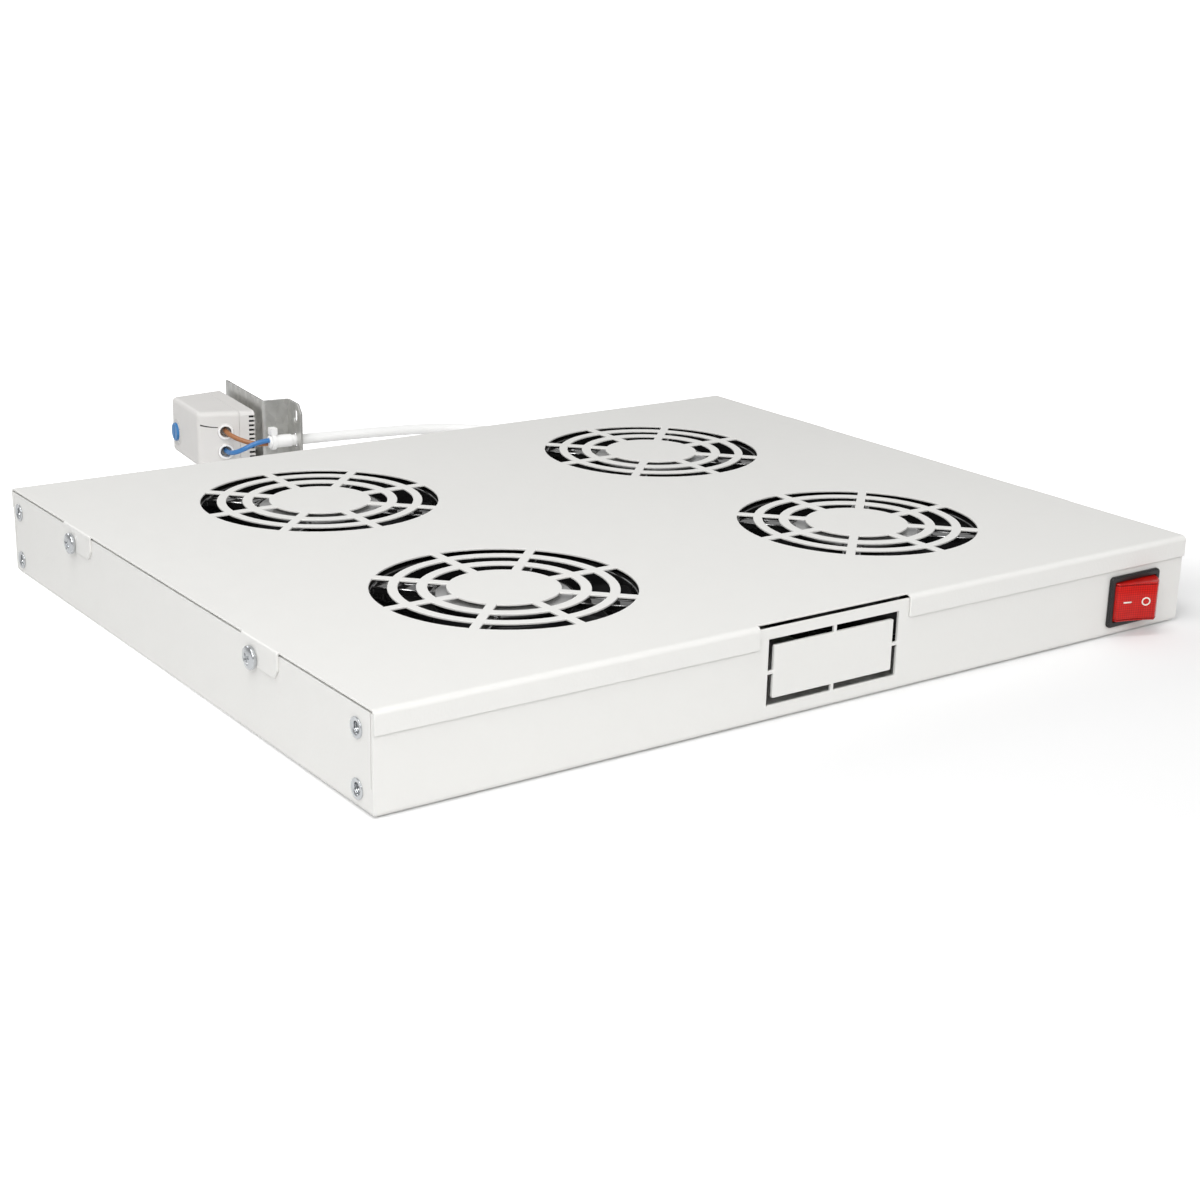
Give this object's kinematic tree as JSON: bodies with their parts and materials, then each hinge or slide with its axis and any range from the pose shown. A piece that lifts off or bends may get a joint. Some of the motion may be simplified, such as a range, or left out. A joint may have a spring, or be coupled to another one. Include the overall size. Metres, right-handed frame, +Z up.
{
  "type": "rack fan tray",
  "caption": "Shallow rack-width sheet-metal tray with axial fans under punched ring grilles, a lit rocker switch, and a thermostat on a short lead.",
  "frame": {"origin": "centre of the tray's underside", "axes": "+X to the right along the front, +Y to the rear, +Z up"},
  "size_m": [0.4476, 0.5415, 0.045],
  "materials": {
    "powder_coat": "fine textured light grey powder coat",
    "zinc": "bright zinc plate",
    "galvanised": "galvanised sheet",
    "fan_metal": "gloss black",
    "fan_blade": "black moulded plastic",
    "lamination": "varnished laminations",
    "steel": "ground steel",
    "black_plastic": "fine matte black",
    "red_lens": "translucent red",
    "brass": "bright",
    "block_plastic": "natural polyamide",
    "black_lead": "smooth sheath",
    "earth_lead": "green and yellow insulation",
    "grommet_rubber": "soft black",
    "white_cable": "smooth white sheath",
    "brown_wire": "smooth brown insulation",
    "blue_wire": "smooth blue insulation",
    "blue_knob": "satin blue",
    "thermostat_plastic": "fine light grey"
  },
  "bodies": {
    "root": {"base_pan": "powder_coat", "blue_wire": "blue_wire", "brown_wire": "brown_wire", "cable_grommet": "grommet_rubber", "cable_sleeve": "white_cable", "cable_tie": "white_cable", "cover_nuts": "zinc", "cover_screws": "zinc", "ear_inserts": "zinc", "earth_lead": "earth_lead", "earth_nut": "zinc", "earth_stud": "zinc", "fan_bearings": "steel", "fan_frame_1": "fan_metal", "fan_frame_2": "fan_metal", "fan_frame_3": "fan_metal", "fan_frame_4": "fan_metal", "fan_leads": "black_lead", "fan_nuts": "zinc", "fan_screws": "zinc", "fan_stator_1": "lamination", "fan_stator_2": "lamination", "fan_stator_3": "lamination", "fan_stator_4": "lamination", "inlet_body": "black_plastic", "inlet_leads": "black_lead", "inlet_nuts": "zinc", "inlet_pins": "brass", "inlet_screws": "zinc", "switch_housing": "black_plastic", "switch_lead": "black_lead", "switch_terminals": "brass", "terminal_block": "block_plastic", "terminal_clamps": "brass", "thermostat_base": "thermostat_plastic", "thermostat_bracket": "galvanised", "thermostat_cable": "white_cable", "thermostat_clip": "thermostat_plastic", "thermostat_cover": "thermostat_plastic", "thermostat_tail": "black_lead", "top_cover": "powder_coat"},
    "fan_rotor_1": {"fan_impeller_1": "fan_blade", "fan_shaft_1": "steel"},
    "fan_rotor_2": {"fan_impeller_2": "fan_blade", "fan_shaft_2": "steel"},
    "fan_rotor_3": {"fan_impeller_3": "fan_blade", "fan_shaft_3": "steel"},
    "fan_rotor_4": {"fan_impeller_4": "fan_blade", "fan_shaft_4": "steel"},
    "rocker": {"switch_rocker": "red_lens"},
    "knob": {"thermostat_knob": "blue_knob"}
  },
  "joints": [
    {"name": "fan_1_spin", "type": "hinge", "parent": "root", "child": "fan_rotor_1", "pos_m": [-0.1005, -0.08, 0.02], "axis": [0, 0, 1], "continuous": true},
    {"name": "fan_2_spin", "type": "hinge", "parent": "root", "child": "fan_rotor_2", "pos_m": [0.1005, -0.08, 0.02], "axis": [0, 0, 1], "continuous": true},
    {"name": "fan_3_spin", "type": "hinge", "parent": "root", "child": "fan_rotor_3", "pos_m": [-0.1005, 0.085, 0.02], "axis": [0, 0, 1], "continuous": true},
    {"name": "fan_4_spin", "type": "hinge", "parent": "root", "child": "fan_rotor_4", "pos_m": [0.1005, 0.085, 0.02], "axis": [0, 0, 1], "continuous": true},
    {"name": "rocker_tilt", "type": "hinge", "parent": "root", "child": "rocker", "pos_m": [0.186, -0.1753, 0.0172], "axis": [0, 0, 1], "range_deg": [0, 40]},
    {"name": "knob_turn", "type": "hinge", "parent": "root", "child": "knob", "pos_m": [-0.06135, 0.33883, 0.0197], "axis": [-0.9936, 0.1132, 0], "range_deg": [-145, 145]}
  ]
}
